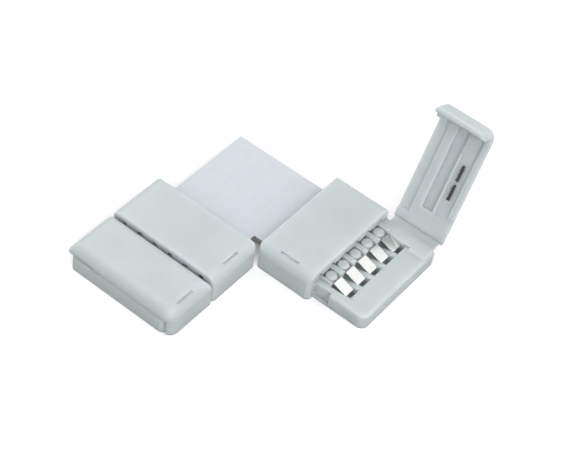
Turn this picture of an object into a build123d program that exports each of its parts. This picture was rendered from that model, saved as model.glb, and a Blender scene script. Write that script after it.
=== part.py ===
from build123d import *
from math import cos, radians, sin
import os

# Corner connector for a five-pad LED strip: an L-shaped circuit board with a strip clip on each arm.
# All sizes in millimetres. The origin is where the centre lines of the two strips cross, on the
# plane that the connector lies on. One clip points along +X and stands open, and the other,
# its mirror image, points along -Y and is shut.
# Each clip is modelled in its own frame: U runs outwards along the strip, V across it with the
# hinge at minus V and the lip at plus V, and Z up.

# Strip and board
strip_width = 12.0
pad_count = 5
board_thickness = 1.0
board_underside = 1.0
board_slack = 0.1
board_bearing = 0.2

# Clip outside: bands beyond the strip's two edges, then lengths
hinge_band = 2.0
lip_band = 2.15
corner_gap = 0.05
block_length = 8.0
lid_gap = 0.2
lid_length = 7.4
top_round = 1.45
edge_round = 0.3
seam_round = 0.2
corner_round = 0.6
lid_corner_round = 1.45
lid_hinge_corner_round = 0.25

# Base tray
shelf_rise = 0.45
shelf_length = 1.55
shelf_margin = 0.1
shelf_hinge_margin = 0.8
shelf_slope = 0.12
tray_hinge_inset = 0.5
tray_corner_round = 1.0
tray_hinge_corner_round = 0.5
tray_edge_round = 0.35
bay_depth = 0.75
bay_length = 3.4
rail_rise = 0.25
rail_width = 2.2
rail_slope = 0.3
rail_end = 0.2
channel_margin = 0.1
channel_length = 4.35
channel_depth = 1.55
latch_notch_length = 2.3
latch_notch_depth = 0.5
latch_ledge = 0.25
tongue_gap = 0.05
guide_rise = 0.9

# Staking rivets that hold the contacts, and pegs that hold the board
rivet_offset = 0.68
rivet_head_diameter = 1.45
rivet_head_height = 0.47
rivet_head_chamfer = 0.14
rivet_pin_diameter = 0.6
rivet_hole_diameter = 0.7
peg_diameter = 1.2
peg_slack = 0.1
peg_offset = 2.6
peg_rise = 0.5

# Housing over the board end
wall = 0.9
roof = 1.0
mouth_notch_width = 0.7
mouth_notch_height = 0.65
mouth_notch_depth = 0.45
press_rib_width = 0.4
press_rib_gap = 0.05
rivet_clearance = 0.1
mark_length = 2.7
mark_width = 0.4
mark_depth = 0.3
mark_inset = 0.95
mark_offset = 2.67

# Contacts
contact_thickness = 0.15
contact_gap = 0.88
tail_narrowing = 0.2
tail_inset = 0.9
knee_gap = 0.02
knee_rise = 0.25
knee_length = 0.25
toe_fall = 0.52
toe_length = 2.05
toe_reach = 0.18
toe_drop = 0.5
solder_margin = 0.15
solder_height = 0.35
solder_slope = 35.0

# Lid, described as it lies when shut
strip_room = 0.42
lid_plate = 1.5
lip_thickness = 0.85
lip_clearance = 0.1
lip_bottom = 0.1
lip_tip_round = 0.35
rivet_pocket_length = 1.55
rivet_pocket_depth = 0.23
rivet_pocket_margin = 0.1
press_pad_length = 1.25
relief_start = 3.0
relief_length = 1.6
relief_depth = 0.43
rib_width = 0.3
rib_drop = 0.07
rib_length = 8.5
front_relief_depth = 0.08
apron_length = 0.8
apron_width = 11.8
apron_drop = 0.27
lip_tab_length = 1.75
lip_tab_depth = 0.4
lip_tab_rise = 0.3
grip_position = 5.5
grip_length = 2.2
grip_spacing = 2.7
grip_thickness = 0.3
grip_root = 0.45
grip_body_drop = 0.05
grip_tooth_drop = 0.37
grip_teeth = 3
grip_tooth_lean = 0.11

# Hinge
pivot_outset = 0.23
pivot_drop = 0.01
film_thickness = 0.25
film_drop = 0.13
film_bulge = 0.2
film_start_gap = 0.3
film_end_gap = 0.4
open_angle = 115.0

# Places worked out from the sizes above
over = 1.0
sliver = 0.1
match = 0.01
half_strip = strip_width / 2
pad_pitch = strip_width / pad_count
pad_places = [(i - (pad_count - 1) / 2) * pad_pitch for i in range(pad_count)]
notch_places = [(i - pad_count / 2) * pad_pitch for i in range(pad_count + 1)]
contact_width = pad_pitch - contact_gap
tail_width = contact_width - 2 * tail_narrowing
half_channel = contact_width / 2 + channel_margin
row_side = pad_places[-1] + half_channel

board_top = board_underside + board_thickness
tail_top = board_top + contact_thickness
floor_height = tail_top
shelf_height = floor_height + shelf_rise
rail_height = floor_height + rail_rise
bay_low = floor_height - bay_depth
channel_floor = floor_height - channel_depth
lid_plane = floor_height + strip_room
clip_height = lid_plane + lid_plate
roof_underside = clip_height - roof
front_plane = lid_plane + front_relief_depth

hinge_side = -half_strip - hinge_band
lip_side = half_strip + lip_band
lip_face = lip_side - lip_thickness
tray_hinge_side = hinge_side + tray_hinge_inset
tray_lip_side = lip_face - lip_clearance
cavity_hinge_side = hinge_side + wall
cavity_lip_side = lip_side - wall
rail_edge = tray_hinge_side + rail_width

block_start = lip_side + corner_gap
block_end = block_start + block_length
cavity_start = block_start + wall
cavity_end = block_end - wall
board_end = cavity_end + board_bearing
shelf_end = block_end + shelf_length
rivet_place = block_end + rivet_offset
channel_end = block_end + channel_length
lid_start = block_end + lid_gap
lid_end = lid_start + lid_length
relief_from = lid_start + rivet_pocket_length + press_pad_length
relief_to = relief_from + relief_length

pivot_v = hinge_side - pivot_outset
pivot_z = floor_height - pivot_drop


def block(u0, u1, v0, v1, z0, z1):
    """A plain block between two corners."""
    return Pos((u0 + u1) / 2, (v0 + v1) / 2, (z0 + z1) / 2) * Box(u1 - u0, v1 - v0, z1 - z0)


def post(u, v, z0, z1, diameter):
    """A round post standing at one place."""
    return Pos(u, v, (z0 + z1) / 2) * Cylinder(diameter / 2, z1 - z0)


def side_profile(points, v0, v1):
    """A profile drawn in the U and Z directions, carried across the clip."""
    sheet = make_face(Polyline(*[(u, 0, z) for u, z in points], close=True))
    return Pos(0, v1, 0) * extrude(sheet, amount=v1 - v0, dir=(0, -1, 0))


def end_profile(points, u0, u1):
    """A profile drawn in the V and Z directions, carried along the strip."""
    sheet = make_face(Polyline(*[(0, v, z) for v, z in points], close=True))
    return Pos(u0, 0, 0) * extrude(sheet, amount=u1 - u0, dir=(1, 0, 0))


def edges_at(solid, along, u=None, v=None, z=None):
    """The straight edges that run one way, at the places given."""
    edges = solid.edges().filter_by(along)
    for axis, place in ((Axis.X, u), (Axis.Y, v), (Axis.Z, z)):
        if place is not None:
            edges = edges.filter_by_position(axis, place - match, place + match)
    return edges


# Circuit board
def make_board():
    arm_x = block(-half_strip, board_end, -half_strip, half_strip, board_underside, board_top)
    arm_y = block(-half_strip, half_strip, -board_end, half_strip, board_underside, board_top)
    board = arm_x + arm_y
    hole = peg_diameter + 2 * peg_slack
    for across in peg_places():
        along = cavity_start + peg_offset
        board -= post(along, across, board_underside - over, board_top + over, hole)
        board -= post(across, -along, board_underside - over, board_top + over, hole)
    return board


def peg_places():
    """The pegs stand between the two outer pads on either side."""
    place = (pad_places[-1] + pad_places[-2]) / 2
    return [-place, place]


# Base tray with its shelf, rail, bay, channels, rivets and the tongue under the board
def make_base():
    tray = block(cavity_end, lid_end, tray_hinge_side, tray_lip_side, 0, floor_height)
    tray = fillet(edges_at(tray, Axis.Z, u=lid_end, v=tray_lip_side), tray_corner_round)
    tray = fillet(edges_at(tray, Axis.Z, u=lid_end, v=tray_hinge_side), tray_hinge_corner_round)
    rim = tray.faces().sort_by(Axis.Z)[-1].edges()
    tray = fillet(rim.filter_by_position(Axis.X, cavity_end + sliver, lid_end + over), tray_edge_round)

    # The strip's bay slopes down from the floor to the foot of the shelf, between rail and lip side.
    bay = side_profile(
        [
            (shelf_end, bay_low),
            (shelf_end + bay_length, floor_height),
            (shelf_end + bay_length, floor_height + over),
            (shelf_end, floor_height + over),
        ],
        -row_side,
        half_strip,
    )
    shelf = end_profile(
        [
            (-row_side - shelf_hinge_margin, channel_floor),
            (-row_side - shelf_hinge_margin, shelf_height),
            (row_side + shelf_margin, shelf_height),
            (row_side + shelf_margin + shelf_slope, floor_height),
            (row_side + shelf_margin + shelf_slope, channel_floor),
        ],
        cavity_end,
        shelf_end,
    )
    rail = end_profile(
        [
            (tray_hinge_side, channel_floor),
            (tray_hinge_side, rail_height),
            (rail_edge, rail_height),
            (rail_edge + rail_slope, floor_height),
            (rail_edge + rail_slope, channel_floor),
        ],
        cavity_end,
        lid_end - rail_end,
    )
    rail = fillet(edges_at(rail, Axis.Z, v=tray_hinge_side, u=lid_end - rail_end), tray_hinge_corner_round)
    tongue_lip_side = cavity_lip_side - tongue_gap
    tongue_hinge_side = cavity_hinge_side + tongue_gap
    tongue = block(cavity_start, cavity_end, tongue_hinge_side, tongue_lip_side, 0, board_underside)
    guide_inner = half_strip + board_slack
    for low, high in ((tongue_hinge_side, -guide_inner), (guide_inner, tongue_lip_side)):
        tongue += block(cavity_start, cavity_end, low, high, 0, board_underside + guide_rise)
    base = tray + rail - bay + shelf + tongue

    # The board end is let into the shelf, and a channel runs under each contact.
    base -= block(
        cavity_end - sliver, board_end + board_slack,
        -guide_inner, guide_inner,
        board_underside, shelf_height + over,
    )
    for place in pad_places:
        base -= block(
            board_end, channel_end,
            place - half_channel, place + half_channel,
            channel_floor, shelf_height + over,
        )
        base += make_rivet(place)

    base -= block(
        block_end, block_end + latch_notch_length,
        tray_lip_side - latch_notch_depth, tray_lip_side + over,
        latch_ledge, shelf_height + over,
    )
    for across in peg_places():
        base += post(cavity_start + peg_offset, across, 0, board_top + peg_rise, peg_diameter)
    return base


def make_rivet(place):
    """A staked rivet: a pin through the contact's tail, with a round flat head on it."""
    pin = post(rivet_place, place, channel_floor, tail_top + sliver, rivet_pin_diameter)
    head = post(rivet_place, place, tail_top, tail_top + rivet_head_height, rivet_head_diameter)
    head = chamfer(head.edges().sort_by(Axis.Z)[-1], rivet_head_chamfer)
    return pin + head


# Housing that closes over the board end
def make_housing():
    shell = block(block_start, block_end, hinge_side, lip_side, 0, clip_height)
    shell &= section_rounded(block_start, block_end)
    shell &= ends_rounded(block_start, block_end)
    shell &= plan_rounded(block_start, block_end)

    shell -= block(cavity_start, cavity_end, cavity_hinge_side, cavity_lip_side, -over, roof_underside)
    shell -= block(
        block_start - over, cavity_start + sliver,
        -half_strip - board_slack, half_strip + board_slack,
        board_underside - tongue_gap, board_top + board_slack,
    )
    # The base tray leaves under the front wall.
    shell -= block(
        cavity_end - sliver, block_end + over,
        tray_hinge_side - tongue_gap, tray_lip_side + tongue_gap,
        -over, shelf_height + tongue_gap,
    )
    for place in notch_places:
        shell -= block(
            block_end - mouth_notch_depth, block_end + over,
            place - mouth_notch_width / 2, place + mouth_notch_width / 2,
            shelf_height - sliver, shelf_height + mouth_notch_height,
        )
    # Ribs under the roof hold the board down on the tongue.
    for side in (-1, 1):
        place = side * (half_strip - press_rib_width / 2)
        shell += block(
            cavity_start, cavity_end,
            place - press_rib_width / 2, place + press_rib_width / 2,
            board_top + press_rib_gap, roof_underside + sliver,
        )
    # Rivet heads and contact tails stand clear of the front wall.
    for place in pad_places:
        shell -= block(
            cavity_end - sliver, block_end + over,
            place - half_channel, place + half_channel,
            board_top, tail_top + rivet_head_height + rivet_clearance,
        )
    shell -= finger_mark(block_start + mark_offset)
    return shell


def section_rounded(u0, u1):
    """The clip's cross section: a box with its two top corners rounded, carried along the strip."""
    solid = block(u0 - over, u1 + over, hinge_side, lip_side, -over, clip_height)
    return fillet(edges_at(solid, Axis.X, z=clip_height), top_round)


def ends_rounded(u0, u1):
    """The long section: a box whose two top ends are rounded by different radii."""
    solid = block(u0, u1, hinge_side - over, lip_side + over, -over, clip_height)
    solid = fillet(edges_at(solid, Axis.Y, u=u0, z=clip_height), edge_round)
    return fillet(edges_at(solid, Axis.Y, u=u1, z=clip_height), seam_round)


def plan_rounded(u0, u1):
    """The plan: a rectangle with rounded corners."""
    solid = block(u0, u1, hinge_side, lip_side, -over, clip_height + over)
    return fillet(solid.edges().filter_by(Axis.Z), corner_round)


def finger_mark(start):
    """A short shallow bar sunk into the top beside the lip, which shows the side that opens."""
    place = lip_side - mark_inset
    return block(
        start, start + mark_length,
        place - mark_width / 2, place + mark_width / 2,
        clip_height - mark_depth, clip_height + over,
    )


# Spring contact: a flat tail soldered to the board, staked by the rivet, then a sloping leaf
def make_contact(place):
    tail_start = cavity_start + tail_inset
    knee_start = rivet_place + rivet_head_diameter / 2 + knee_gap
    toe_end = shelf_end + toe_length
    toe_height = tail_top - toe_fall
    top_line = [
        Vector(tail_start, 0, tail_top),
        Vector(knee_start, 0, tail_top),
        Vector(knee_start + knee_length, 0, tail_top + knee_rise),
        Vector(toe_end, 0, toe_height),
        Vector(toe_end + toe_reach, 0, toe_height - toe_drop),
    ]
    section = band_below(top_line, contact_thickness)
    leaf = Pos(0, place + contact_width / 2, 0) * extrude(section, amount=contact_width, dir=(0, -1, 0))
    for side in (-1, 1):
        low, high = sorted((side * tail_width / 2, side * contact_width))
        leaf -= block(tail_start - over, knee_start, place + low, place + high, 0, clip_height)
    leaf -= post(rivet_place, place, 0, clip_height, rivet_hole_diameter)
    return leaf


def band_below(points, thickness):
    """A band of even thickness below an open line of straight runs."""
    lower = []
    for i, point in enumerate(points):
        before = (point - points[i - 1]).normalized() if i > 0 else None
        after = (points[i + 1] - point).normalized() if i < len(points) - 1 else None
        before = before or after
        after = after or before
        down_before = Vector(before.Z, 0, -before.X)
        down_after = Vector(after.Z, 0, -after.X)
        middle = (down_before + down_after).normalized()
        reach = thickness / middle.dot(down_after)
        lower.append(point + middle * reach)
    outline = points + lower[::-1]
    return make_face(Polyline(*outline, close=True))


def make_solder(place, contact):
    """A low mound of solder with sloping sides, over the end of the contact's tail."""
    size = tail_width + 2 * solder_margin
    pad = Plane((cavity_start + tail_inset, place, board_top)) * Rectangle(size, size)
    return extrude(pad, amount=solder_height, taper=solder_slope) - contact


# Lid, drawn shut
def make_lid():
    body = block(lid_start, lid_end, hinge_side, lip_side, lip_bottom, clip_height)
    body = fillet(edges_at(body, Axis.Z, u=lid_end, v=lip_side), lid_corner_round)
    body = fillet(edges_at(body, Axis.Z, u=lid_end, v=hinge_side), lid_hinge_corner_round)
    body = fillet(edges_at(body, Axis.Z, u=lid_start), edge_round)
    top = body.faces().sort_by(Axis.Z)[-1].edges()
    top = top.filter_by_position(Axis.X, lid_start + edge_round + sliver, lid_end + over)
    return fillet(top, top_round)


def fit_lid(body):
    """Hollows the lid and gives it the ribs that press the strip."""
    outside = body
    before = lid_start - over
    after = lid_end + over
    body -= block(before, after, hinge_side - over, lip_face, lip_bottom - over, lid_plane)
    tip = edges_at(body, Axis.X, v=lip_face, z=lip_bottom)
    body = fillet(tip, lip_tip_round)

    recess_start = hinge_side + relief_start
    pocket_start = -row_side - shelf_hinge_margin - rivet_pocket_margin
    pocket_end = lid_start + rivet_pocket_length
    body -= block(before, pocket_end, pocket_start, lip_face, lid_plane - over, lid_plane + rivet_pocket_depth)
    body -= block(relief_from, relief_to, recess_start, lip_face, lid_plane - over, lid_plane + relief_depth)
    body -= block(relief_to, after, recess_start, lip_face, lid_plane - over, front_plane)
    body += block(
        relief_to, relief_to + rib_width, recess_start, recess_start + rib_length,
        lid_plane - rib_drop, lid_plane + relief_depth + sliver,
    )
    apron = block(
        lid_end - apron_length, lid_end, lip_face + sliver - apron_width, lip_face + sliver,
        lid_plane - apron_drop, front_plane + sliver,
    )
    body += apron & outside
    body += block(
        lid_start + edge_round, lid_start + lip_tab_length, lip_face - lip_tab_depth, lip_face + sliver,
        lip_bottom + lip_tab_rise, lid_plane + rivet_pocket_depth + sliver,
    )
    for place in grip_centres():
        body -= grip_slot(place)
    body -= finger_mark(lid_start + mark_offset)
    return body


def grip_centres():
    return [-grip_spacing / 2, grip_spacing / 2]


def grip_slot(place):
    u = lid_start + grip_position
    return block(
        u - grip_thickness / 2, u + grip_thickness / 2,
        place - grip_length / 2, place + grip_length / 2,
        front_plane - over, front_plane + grip_root,
    )


def make_grip(place):
    """A small toothed comb set into the lid, which bites the strip."""
    u = lid_start + grip_position
    low = place - grip_length / 2
    step = grip_length / grip_teeth
    body_bottom = front_plane - grip_body_drop
    tip = front_plane - grip_tooth_drop
    points = [(low, front_plane + grip_root)]
    points.append((low, body_bottom))
    for i in range(grip_teeth):
        points.append((low + i * step + grip_tooth_lean, tip))
        points.append((low + (i + 1) * step, body_bottom))
    points.append((low + grip_length, front_plane + grip_root))
    return end_profile(points, u - grip_thickness / 2, u + grip_thickness / 2)


# Film hinge between the rail and the underside of the lid
def film_strap(points):
    return end_profile(points, lid_start + film_start_gap, lid_end - film_end_gap)


def film_root():
    """The film's two corners on the outer side of the rail, lower one first."""
    low = floor_height - film_drop
    return [(tray_hinge_side, low), (tray_hinge_side, low + film_thickness)]


def shut_film():
    """The film folded beside the shut lid: out from the rail, round a bend, and up to the lid."""
    root_low, root_high = film_root()
    bend_low = root_low[1] + film_thickness / 2
    outer_side = hinge_side - film_bulge
    inner_side = outer_side + film_thickness
    points = [
        root_high,
        (inner_side + film_thickness / 2, root_high[1]),
        (inner_side, root_high[1] + film_thickness / 4),
        (hinge_side + film_thickness, lid_plane),
        (hinge_side, lid_plane),
        (outer_side, root_high[1] + film_thickness / 2),
        (outer_side, bend_low),
        (outer_side + film_thickness, root_low[1]),
        root_low,
    ]
    return film_strap(points)


def open_film():
    """The film drawn out nearly flat, from the rail to the underside of the open lid."""
    turn = radians(open_angle)
    points = film_root()
    rise = lid_plane - pivot_z
    for side in (hinge_side + film_thickness, hinge_side):
        across = side - pivot_v
        v = pivot_v + across * cos(turn) - rise * sin(turn)
        z = pivot_z + across * sin(turn) + rise * cos(turn)
        points.append((v, z))
    return film_strap(points)


def opened(solid):
    """Swings a shut solid about the hinge to the open position."""
    return solid.rotate(Axis((0, pivot_v, pivot_z), (1, 0, 0)), open_angle)


def to_right(solid):
    """Places a clip piece on the arm that points along +X, as a mirror image."""
    return mirror(solid, about=Plane.XZ)


def to_left(solid):
    """Places a clip piece on the arm that points along -Y."""
    return Rot(0, 0, -90) * solid


def save(solid, name):
    export_step(solid, f"parts/{name}.step")


os.makedirs("parts", exist_ok=True)
save(make_board(), "corner_board")

base = make_base()
housing = make_housing()
lid = fit_lid(make_lid())
contacts = [make_contact(place) for place in pad_places]
solders = [make_solder(place, contact) for place, contact in zip(pad_places, contacts)]
grips = [make_grip(place) for place in grip_centres()]

for name, place_on_arm in (("left", to_left), ("right", to_right)):
    shut = name == "left"
    save(place_on_arm(base), f"{name}_base")
    save(place_on_arm(housing), f"{name}_housing")
    save(place_on_arm(lid if shut else opened(lid)), f"{name}_lid")
    save(place_on_arm(shut_film() if shut else open_film()), f"{name}_film_hinge")
    for i, contact in enumerate(contacts, start=1):
        save(place_on_arm(contact), f"{name}_contact_{i}")
    save(Compound([place_on_arm(solder) for solder in solders]), f"{name}_solder_joints")
    for i, grip in enumerate(grips, start=1):
        save(place_on_arm(grip if shut else opened(grip)), f"{name}_grip_{i}")
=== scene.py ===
# %% [markdown]
# # A corner connector for light strip
# This lesson dresses a small plastic connector: an L-shaped circuit board with a strip clip on each
# arm. The solid parts come from the CAD model and stay exactly where they are. What is left for
# Blender is the finish: milky moulded plastic, a white board, bright sprung contacts, dark grips,
# and the two thin plastic films that the lids turn on.

# %% Load the solid parts
import bpy
from math import cos, radians, sin
from mathutils import Matrix, Vector


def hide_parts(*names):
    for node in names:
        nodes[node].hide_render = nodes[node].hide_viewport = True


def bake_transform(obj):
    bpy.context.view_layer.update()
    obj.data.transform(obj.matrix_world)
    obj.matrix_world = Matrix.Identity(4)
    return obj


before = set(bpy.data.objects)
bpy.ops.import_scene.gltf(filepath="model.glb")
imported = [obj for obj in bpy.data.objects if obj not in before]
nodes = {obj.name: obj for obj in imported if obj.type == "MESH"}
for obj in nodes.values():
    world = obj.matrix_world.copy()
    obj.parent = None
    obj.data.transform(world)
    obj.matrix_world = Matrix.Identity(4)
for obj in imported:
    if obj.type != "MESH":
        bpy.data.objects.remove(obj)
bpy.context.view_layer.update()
print("solid parts:", len(nodes))

# %% [markdown]
# ## Units and names
# Everything is in metres, and the connector is only 40 mm long, so lengths below are written in
# millimetres and turned into metres by one small value. Finishes could be given out part by part,
# but grouping the names by what the parts are made of means that each finish is given out once.

# %% Sort the parts by what they are made of
MM = 0.001
SIDES = ("left", "right")
plastic_parts = [f"{side}_{kind}" for side in SIDES for kind in ("base", "housing", "lid")]
contact_parts = [f"{side}_contact_{i}" for side in SIDES for i in range(1, 6)]
grip_parts = [f"{side}_grip_{i}" for side in SIDES for i in (1, 2)]
solder_parts = [f"{side}_solder_joints" for side in SIDES]
print(len(plastic_parts), "plastic,", len(contact_parts), "contacts,", len(grip_parts), "grips")

# %% [markdown]
# ## Camera
# The photograph looks down at about 48 degrees, from a fifth of a metre away, with the camera rolled
# a little. A long lens keeps the perspective gentle. A tracking constraint could aim the camera, but
# it would leave the roll to a second step, so the camera's axes are worked out from three angles.
# Blender counts a camera's sensor and focal length in millimetres, whatever the scene's unit.

# %% Place the camera
AZIMUTH = radians(31.386)
ELEVATION = radians(47.717)
ROLL = radians(9.602)
DISTANCE = 202.553 * MM
TARGET = Vector((8.115, -2.235, 2.0)) * MM
SENSOR_WIDTH = 36
FOCAL_LENGTH = 103.95
NEAR_LIMIT = 5 * MM


def camera_axes(azimuth, elevation, roll):
    """The camera's right, up and backward directions."""
    back = Vector((sin(azimuth) * cos(elevation), -cos(azimuth) * cos(elevation), sin(elevation)))
    right = Vector((cos(azimuth), sin(azimuth), 0))
    up = back.cross(right)
    rolled_right = right * cos(roll) + up * sin(roll)
    rolled_up = up * cos(roll) - right * sin(roll)
    return rolled_right, rolled_up, back


right, up, back = camera_axes(AZIMUTH, ELEVATION, ROLL)
bpy.ops.object.camera_add(location=TARGET + back * DISTANCE)
camera = bpy.context.object
camera.rotation_euler = Matrix((right, up, back)).transposed().to_euler()
camera.data.sensor_width = SENSOR_WIDTH
camera.data.lens = FOCAL_LENGTH
camera.data.clip_start = NEAR_LIMIT
camera.data.dof.use_dof = False
bpy.context.scene.camera = camera
print("camera at", [round(c / MM, 1) for c in camera.location], "mm")

# %% [markdown]
# ## Floor
# Small parts are photographed on a white sweep. A curved backdrop would do too, but from above only
# its flat part shows, so a wide pale plane is enough. It keeps its shadows and glows very faintly,
# which keeps it white, but it throws no diffuse light back, so the lower sides of the clips fall into
# gentle shade.

# %% Lay the floor
FLOOR_SIZE = 3.0
FLOOR_GLOW = 0.12


def select_only(*objects):
    """Leaves only these objects selected, or nothing."""
    bpy.ops.object.select_all(action="DESELECT")
    for item in objects:
        item.select_set(True)
    if objects:
        bpy.context.view_layer.objects.active = objects[0]


def plain_material(name):
    """A new material, with its tree and its shader."""
    material = bpy.data.materials.new(name)
    material.use_nodes = True
    return material, material.node_tree, material.node_tree.nodes["Principled BSDF"]


def set_sockets(node, values):
    """Gives a node's own sockets plain values."""
    for label, value in values.items():
        node.inputs[label].default_value = value


select_only()
bpy.ops.mesh.primitive_plane_add(size=FLOOR_SIZE, location=(0, 0, 0))
floor = bpy.context.object
floor.name = "floor"
floor_paint, tree, shader = plain_material("pale_floor")
set_sockets(shader, {
    "Base Color": (0.95, 0.95, 0.95, 1),
    "Roughness": 0.8,
    "Specular IOR Level": 0.1,
    "Emission Color": (1, 1, 1, 1),
    "Emission Strength": FLOOR_GLOW,
})
floor.data.materials.append(floor_paint)
floor.visible_diffuse = False
print("floor", [round(d, 2) for d in floor.dimensions], "m")

# %% [markdown]
# ## Light
# Three broad soft panels shape the forms: one on the left, one behind on the right and one in front.
# The bright contacts mirror the one behind. One large lamp would be simpler, but it would light every
# form from the same side. A white dome, dim below the horizon, fills what is left.

# %% Set the panels
LIGHT_DISTANCE = 0.5


def soft_light(name, azimuth, elevation, size, power):
    """A square soft light aimed at the middle; azimuth counts in degrees from +X towards +Y."""
    turn, lift = radians(azimuth), radians(elevation)
    towards = Vector((cos(lift) * cos(turn), cos(lift) * sin(turn), sin(lift)))
    bpy.ops.object.light_add(type="AREA", location=towards * LIGHT_DISTANCE)
    lamp = bpy.context.object
    lamp.name = name
    lamp.data.shape = "SQUARE"
    lamp.data.size = size
    lamp.data.energy = power
    lamp.rotation_euler = towards.to_track_quat("Z", "Y").to_euler()


soft_light("left_panel", azimuth=165, elevation=38, size=0.5, power=1.3)
soft_light("back_panel", azimuth=64, elevation=34, size=0.6, power=0.95)
soft_light("front_panel", azimuth=318, elevation=35, size=0.5, power=2.3)

# %% Set the dome
DIM_BELOW = 0.08
BRIGHT_ABOVE = 0.43
HORIZON_BLUR = 0.05

world = bpy.data.worlds.new("studio")
bpy.context.scene.world = world
world.use_nodes = True
sky = world.node_tree
direction = sky.nodes.new("ShaderNodeTexCoord")
height = sky.nodes.new("ShaderNodeSeparateXYZ")
dome = sky.nodes.new("ShaderNodeMapRange")
set_sockets(dome, {
    "From Min": -HORIZON_BLUR,
    "From Max": HORIZON_BLUR,
    "To Min": DIM_BELOW,
    "To Max": BRIGHT_ABOVE,
})
sky.links.new(direction.outputs["Generated"], height.inputs["Vector"])
sky.links.new(height.outputs["Z"], dome.inputs["Value"])
sky.links.new(dome.outputs["Result"], sky.nodes["Background"].inputs["Strength"])
set_sockets(sky.nodes["Background"], {"Color": (1, 1, 1, 1)})
bpy.context.scene.view_settings.view_transform = "Standard"
print("world:", world.name, "with", len(sky.nodes), "nodes")

# %% [markdown]
# ## Shared surface effects
# Moulded plastic is never perfectly even: the melt leaves soft clouds of slightly different tone, and
# the mould's spark-eroded steel leaves a very fine grain. Both could be painted on each part, but
# noise on Object coordinates needs no unwrapping and keeps its size on every part. The two effects
# are used by more than one finish, so they are built once as a node group with named sockets and
# placed in each material with its own values.

# %% Open the moulded-surface group
def new_group(name, inputs, outputs):
    """An empty shader node group with named sockets: (name, kind, default)."""
    group = bpy.data.node_groups.new(name, "ShaderNodeTree")
    for label, kind, value in inputs:
        socket = group.interface.new_socket(label, in_out="INPUT", socket_type=kind)
        socket.default_value = value
    for label, kind in outputs:
        group.interface.new_socket(label, in_out="OUTPUT", socket_type=kind)
    return group, group.nodes.new("NodeGroupInput"), group.nodes.new("NodeGroupOutput")


surface, given, result = new_group(
    "moulded_surface",
    [("Tone A", "NodeSocketColor", (0.8, 0.8, 0.8, 1)),
     ("Tone B", "NodeSocketColor", (0.7, 0.7, 0.7, 1)),
     ("Cloud Scale", "NodeSocketFloat", 150.0),
     ("Grain Scale", "NodeSocketFloat", 4000.0),
     ("Rough Low", "NodeSocketFloat", 0.35),
     ("Rough High", "NodeSocketFloat", 0.5)],
    [("Color", "NodeSocketColor"), ("Roughness", "NodeSocketFloat"), ("Height", "NodeSocketFloat")],
)
print("group:", surface.name, [s.name for s in surface.interface.items_tree])

# %% Add the two noises
def link(tree, source, target):
    """Joins two sockets."""
    tree.links.new(source, target)


def noise(tree, vector, scale, detail):
    """A noise texture whose place and scale come from sockets."""
    node = tree.nodes.new("ShaderNodeTexNoise")
    set_sockets(node, {"Detail": detail})
    link(tree, scale, node.inputs["Scale"])
    link(tree, vector, node.inputs["Vector"])
    return node.outputs["Fac"]


place = surface.nodes.new("ShaderNodeTexCoord").outputs["Object"]
cloud = noise(surface, place, given.outputs["Cloud Scale"], detail=3.0)
grain = noise(surface, place, given.outputs["Grain Scale"], detail=2.0)
print("noises:", sum(node.type == "TEX_NOISE" for node in surface.nodes))

# %% Turn the noises into tone, gloss and relief
MIX_FACTOR, MIX_FIRST, MIX_SECOND, MIX_RESULT = 0, 6, 7, 2


def feed(tree, value, target):
    """Gives a socket another socket's output, or a plain value."""
    if hasattr(value, "is_output"):
        link(tree, value, target)
    else:
        target.default_value = value


def spread(tree, value, low, high, to_low, to_high):
    """Maps a value from one range to another."""
    node = tree.nodes.new("ShaderNodeMapRange")
    ends = {"From Min": low, "From Max": high, "To Min": to_low, "To Max": to_high}
    for label, end in ends.items():
        feed(tree, end, node.inputs[label])
    link(tree, value, node.inputs["Value"])
    return node.outputs["Result"]


def mix(tree, factor, first, second):
    """Mixes two colours, each a socket or a plain colour."""
    node = tree.nodes.new("ShaderNodeMix")
    node.data_type = "RGBA"
    link(tree, factor, node.inputs[MIX_FACTOR])
    feed(tree, first, node.inputs[MIX_FIRST])
    feed(tree, second, node.inputs[MIX_SECOND])
    return node.outputs[MIX_RESULT]


cloud_mask = spread(surface, cloud, 0.35, 0.65, 0.0, 1.0)
tone = mix(surface, cloud_mask, given.outputs["Tone A"], given.outputs["Tone B"])
gloss = spread(surface, grain, 0.3, 0.7, given.outputs["Rough Low"], given.outputs["Rough High"])
link(surface, tone, result.inputs["Color"])
link(surface, gloss, result.inputs["Roughness"])
link(surface, grain, result.inputs["Height"])
print("group has", len(surface.nodes), "nodes and", len(surface.links), "links")

# %% [markdown]
# ## Milky plastic
# The clips are moulded in unfilled white nylon, which lets a little light in: shaded walls glow and
# thin edges look paler than the body. An opaque white would look like chalk, so the light is let in
# by subsurface scattering, with a reach of a little under two millimetres. The colour is a cool
# off-white in two close tones.

# %% Make the plastic
def add_surface(tree, shader, bump, depth, **values):
    """Places the moulded-surface group in a material with its own values."""
    group = tree.nodes.new("ShaderNodeGroup")
    group.node_tree = surface
    set_sockets(group, {label.replace("_", " "): value for label, value in values.items()})
    relief = tree.nodes.new("ShaderNodeBump")
    set_sockets(relief, {"Strength": bump, "Distance": depth})
    link(tree, group.outputs["Height"], relief.inputs["Height"])
    link(tree, group.outputs["Color"], shader.inputs["Base Color"])
    link(tree, group.outputs["Roughness"], shader.inputs["Roughness"])
    link(tree, relief.outputs["Normal"], shader.inputs["Normal"])
    return group


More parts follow.
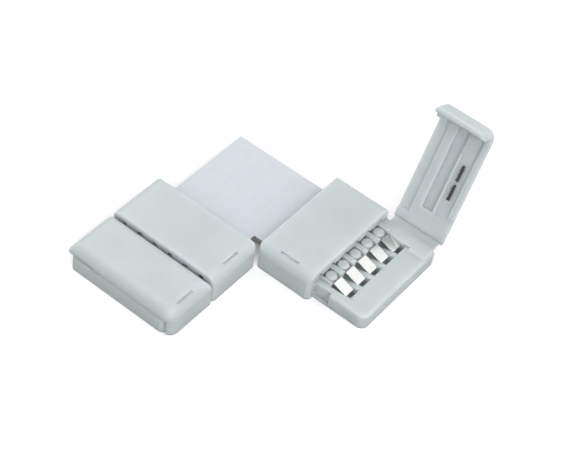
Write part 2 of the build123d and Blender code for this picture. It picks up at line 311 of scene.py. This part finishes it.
milky_plastic, tree, shader = plain_material("milky_plastic")
add_surface(tree, shader, bump=0.12, depth=0.02 * MM,
            Tone_A=(0.53, 0.58, 0.587, 1), Tone_B=(0.505, 0.555, 0.562, 1),
            Cloud_Scale=260.0, Grain_Scale=9000.0, Rough_Low=0.34, Rough_High=0.5)
set_sockets(shader, {
    "Subsurface Weight": 1.0,
    "Subsurface Radius": (1.0, 1.0, 1.0),
    "Subsurface Scale": 1.7 * MM,
    "IOR": 1.5,
})
print("made", milky_plastic.name)

# %% [markdown]
# ## White board
# The circuit board wears a white solder mask, flatter and a touch bluer than the plastic, with a
# faint speckle. Its sawn edges have no mask and show the greyer glass cloth, and their grey is
# darkened further as painted shade for the shadow in the narrow gap beside the housings. A second
# material on the edge faces would do that too, but a mask taken from the direction that a face
# points in needs no faces picked out.

# %% Make the board
board_white, tree, shader = plain_material("board_white")
group = add_surface(tree, shader, bump=0.1, depth=0.02 * MM,
                    Tone_A=(0.57, 0.605, 0.64, 1), Tone_B=(0.55, 0.583, 0.617, 1),
                    Cloud_Scale=900.0, Grain_Scale=7000.0, Rough_Low=0.45, Rough_High=0.6)
facing = tree.nodes.new("ShaderNodeTexCoord").outputs["Normal"]
split = tree.nodes.new("ShaderNodeSeparateXYZ")
link(tree, facing, split.inputs["Vector"])
flat = tree.nodes.new("ShaderNodeMath")
flat.operation = "ABSOLUTE"
link(tree, split.outputs["Z"], flat.inputs[0])
# Upright faces get a dark grey: partly the bare glass cloth, partly painted shade for the shadow in
# the gap beside the housings.
cloth_edge_with_painted_shade = mix(tree, flat.outputs["Value"], (0.36, 0.37, 0.35, 1), group.outputs["Color"])
link(tree, cloth_edge_with_painted_shade, shader.inputs["Base Color"])
print("made", board_white.name)

# %% [markdown]
# ## Metals
# The contacts are tin-plated spring bronze, almost a mirror, with a faint unevenness. The grips are
# dark spring steel. Solder is a soft grey metal. The three differ only in tone and roughness, so one
# helper makes them all.

# %% Make the metals
def metal(name, tone_a, tone_b, rough_low, rough_high):
    """A metal with slightly uneven tone and roughness."""
    material, tree, shader = plain_material(name)
    add_surface(tree, shader, bump=0.02, depth=0.005 * MM, Tone_A=tone_a, Tone_B=tone_b,
                Cloud_Scale=700.0, Grain_Scale=6000.0, Rough_Low=rough_low, Rough_High=rough_high)
    set_sockets(shader, {"Metallic": 1.0})
    return material


tin_plate = metal("tin_plate", (0.77, 0.775, 0.76, 1), (0.74, 0.745, 0.73, 1), 0.12, 0.2)
dark_steel = metal("dark_steel", (0.14, 0.145, 0.14, 1), (0.07, 0.075, 0.07, 1), 0.3, 0.45)
solder_grey = metal("solder_grey", (0.72, 0.72, 0.73, 1), (0.62, 0.62, 0.63, 1), 0.2, 0.35)
print("made", tin_plate.name, dark_steel.name, solder_grey.name)

# %% Give each part its finish
def dress(names, material):
    """Makes this the only material of these parts."""
    for name in names:
        part = nodes[name]
        part.data.materials.clear()
        part.data.materials.append(material)


dress(plastic_parts, milky_plastic)
dress(["corner_board"], board_white)
dress(contact_parts, tin_plate)
dress(grip_parts, dark_steel)
dress(solder_parts, solder_grey)
print("dressed", sum(len(p.data.materials) > 0 for p in nodes.values()), "parts")

# %% [markdown]
# ## Film hinges
# Base and lid are one moulding, joined by a film of plastic a quarter of a millimetre thick, which
# bends when the lid turns. A flat strip is drawn along the film's centre line and given its
# thickness with Solidify. A clip's own directions are u out along its arm, v across it and z up.

# %% Lay the two strips
FILM_FROM = 16.7 * MM
FILM_TO = 23.4 * MM
FILM_COLUMNS = 14


def on_left(u, v, z):
    """A place in the left clip's own directions, in the world's."""
    return Vector((v, -u, z))


def on_right(u, v, z):
    """A place in the right clip's own directions, in the world's."""
    return Vector((u, -v, z))


def lay_strip(name, line, to_world):
    """A strip along a line of (v, z) points in millimetres, as long as the clip's mouth."""
    select_only()
    bpy.ops.mesh.primitive_grid_add(
        x_subdivisions=FILM_COLUMNS, y_subdivisions=len(line) - 1, size=1.0)
    film = bpy.context.object
    film.name = name
    for vertex in film.data.vertices:
        v, z = line[round((vertex.co.y + 0.5) * (len(line) - 1))]
        u = FILM_FROM + (vertex.co.x + 0.5) * (FILM_TO - FILM_FROM)
        vertex.co = to_world(u, v * MM, z * MM)
    return film


shut_line = [(-7.45, 2.145), (-7.7, 2.145), (-7.88, 2.155), (-8.02, 2.21),
             (-8.075, 2.31), (-8.02, 2.43), (-7.9, 2.58)]
open_line = [(-7.45, 2.145), (-7.7, 2.15), (-7.95, 2.165), (-8.2, 2.19),
             (-8.4, 2.22), (-8.6, 2.25), (-8.78, 2.285)]
left_film = lay_strip("left_film", shut_line, on_left)
right_film = lay_strip("right_film", open_line, on_right)
print("strips have", len(left_film.data.polygons), "faces each")

# %% Give the strips their thickness
FILM_THICK = 0.25 * MM
FILM_ROUNDING = 0.05 * MM
SMOOTH_UP_TO = radians(35)


def finish_film(film):
    """Thickens a strip, rounds its edges and points its faces outwards."""
    select_only(film)
    thicken = film.modifiers.new("thickness", "SOLIDIFY")
    thicken.thickness = FILM_THICK
    thicken.offset = 0
    soften = film.modifiers.new("soften", "BEVEL")
    soften.width = FILM_ROUNDING
    soften.segments = 2
    for modifier in list(film.modifiers):
        bpy.ops.object.modifier_apply(modifier=modifier.name)
    bpy.ops.object.mode_set(mode="EDIT")
    bpy.ops.mesh.select_all(action="SELECT")
    bpy.ops.mesh.normals_make_consistent(inside=False)
    bpy.ops.object.mode_set(mode="OBJECT")
    bpy.ops.object.shade_smooth_by_angle(angle=SMOOTH_UP_TO)
    film.data.materials.append(milky_plastic)


finish_film(left_film)
finish_film(right_film)
print("films have", len(left_film.data.polygons), "faces each")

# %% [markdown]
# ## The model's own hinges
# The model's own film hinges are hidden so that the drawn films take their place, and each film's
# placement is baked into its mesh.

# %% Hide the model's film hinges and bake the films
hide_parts("left_film_hinge")
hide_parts("right_film_hinge")
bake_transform(left_film)
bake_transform(right_film)
